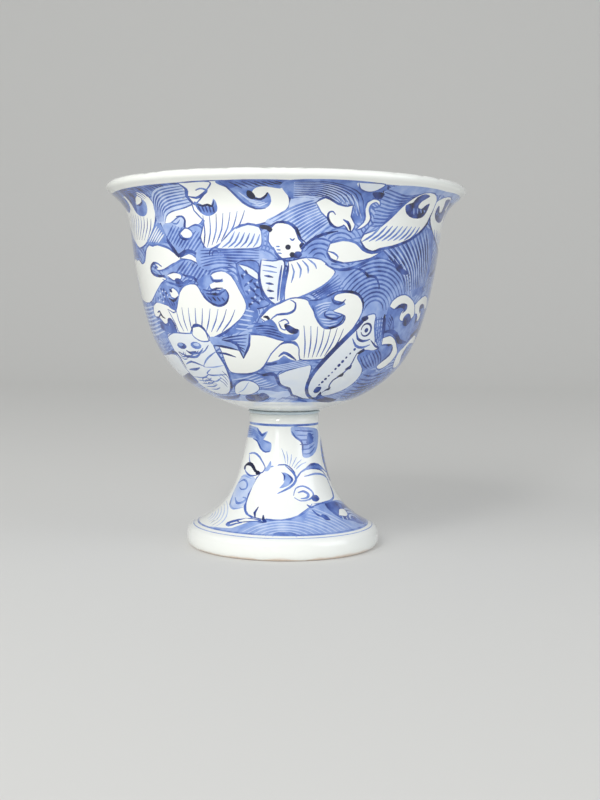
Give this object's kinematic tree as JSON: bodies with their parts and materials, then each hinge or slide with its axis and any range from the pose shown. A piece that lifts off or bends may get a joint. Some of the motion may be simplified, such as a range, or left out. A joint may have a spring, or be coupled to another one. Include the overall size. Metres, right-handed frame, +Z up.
{
  "type": "porcelain stem cup",
  "caption": "Blue-and-white porcelain stem cup: a deep bell-shaped bowl with an out-turned lip on a hollow, spreading stem foot.",
  "frame": {"origin": "middle of the foot's resting ring, on the surface that the cup stands on", "axes": "+Z up along the axis the cup was thrown on; -Y faces the side with the sea creature"},
  "size_m": [0.076, 0.076, 0.0765],
  "materials": {
    "glazed_porcelain": "clear gloss glaze over cobalt painting on white porcelain",
    "luting_glaze": "gloss glaze, slightly bluish where it pools"
  },
  "bodies": {
    "root": {"bowl": "glazed_porcelain", "luting_glaze": "luting_glaze", "stem_and_foot": "glazed_porcelain"}
  },
  "joints": []
}
